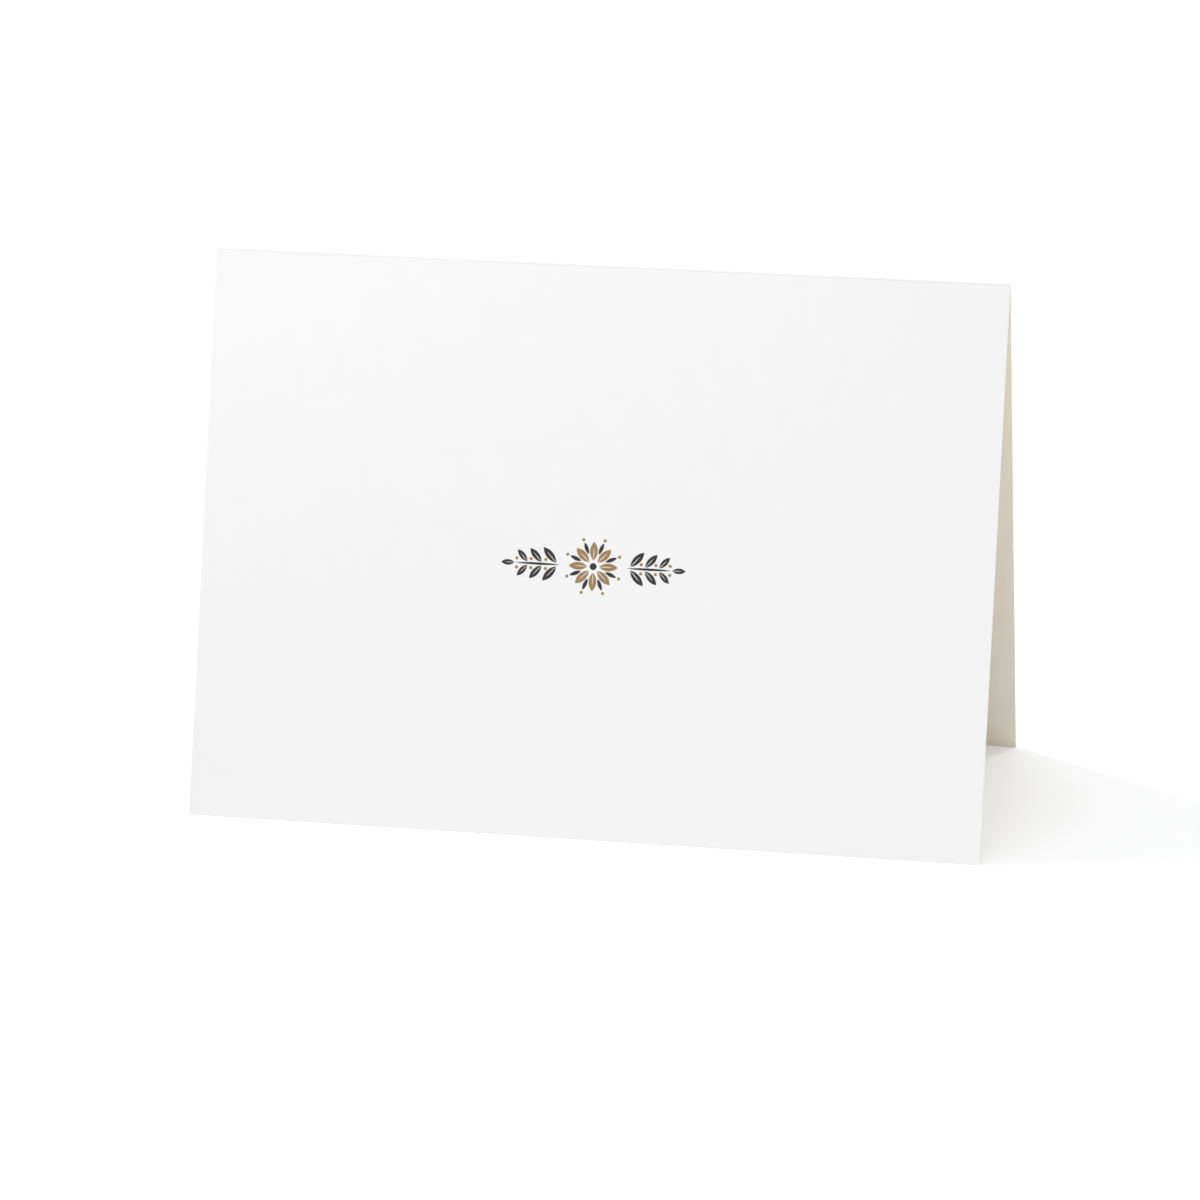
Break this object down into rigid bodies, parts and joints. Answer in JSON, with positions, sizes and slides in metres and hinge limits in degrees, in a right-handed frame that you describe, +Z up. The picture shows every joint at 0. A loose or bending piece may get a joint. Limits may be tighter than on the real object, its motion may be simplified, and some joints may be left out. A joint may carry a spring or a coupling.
{
  "type": "greeting card",
  "caption": "Folded board card that stands open as a tent on its cut edges, with a small ornament printed on its back panel.",
  "frame": {"origin": "on the surface the card stands on, midway between its ends and between its feet", "axes": "+X along the fold, to the right of someone facing the back panel; +Y from the back panel to the front panel; +Z up"},
  "size_m": [0.1778, 0.0756, 0.1214],
  "materials": {
    "board": "smooth white board, coated outside, uncoated ivory inside"
  },
  "bodies": {
    "root": {"folded_card": "board"}
  },
  "joints": []
}
